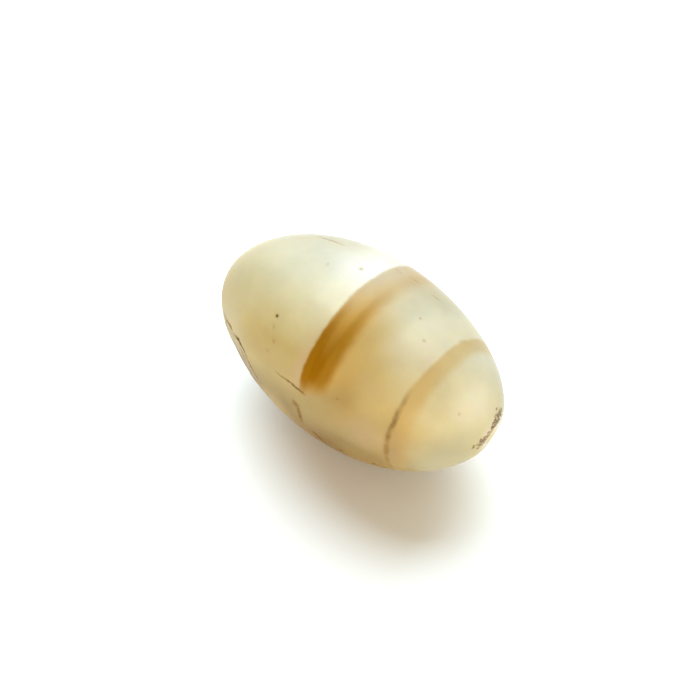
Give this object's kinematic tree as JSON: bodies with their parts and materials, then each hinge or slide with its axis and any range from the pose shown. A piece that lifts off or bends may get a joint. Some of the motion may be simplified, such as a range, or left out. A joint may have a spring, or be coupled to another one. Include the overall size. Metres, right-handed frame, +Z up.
{
  "type": "banded agate bead",
  "caption": "Polished oval bead of cream and honey banded agate, drilled along its length for a thread, with worn end faces and a small worn flat to rest on.",
  "frame": {"origin": "on the surface the bead rests on, under the middle of the bead", "axes": "+X along the thread hole towards the fatter half, +Z up from the worn resting flat"},
  "size_m": [0.0238, 0.0142, 0.0139],
  "materials": {
    "agate": "satin hand polish, translucent cream chalcedony with honey-brown bands"
  },
  "bodies": {
    "root": {"bead": "agate"}
  },
  "joints": []
}
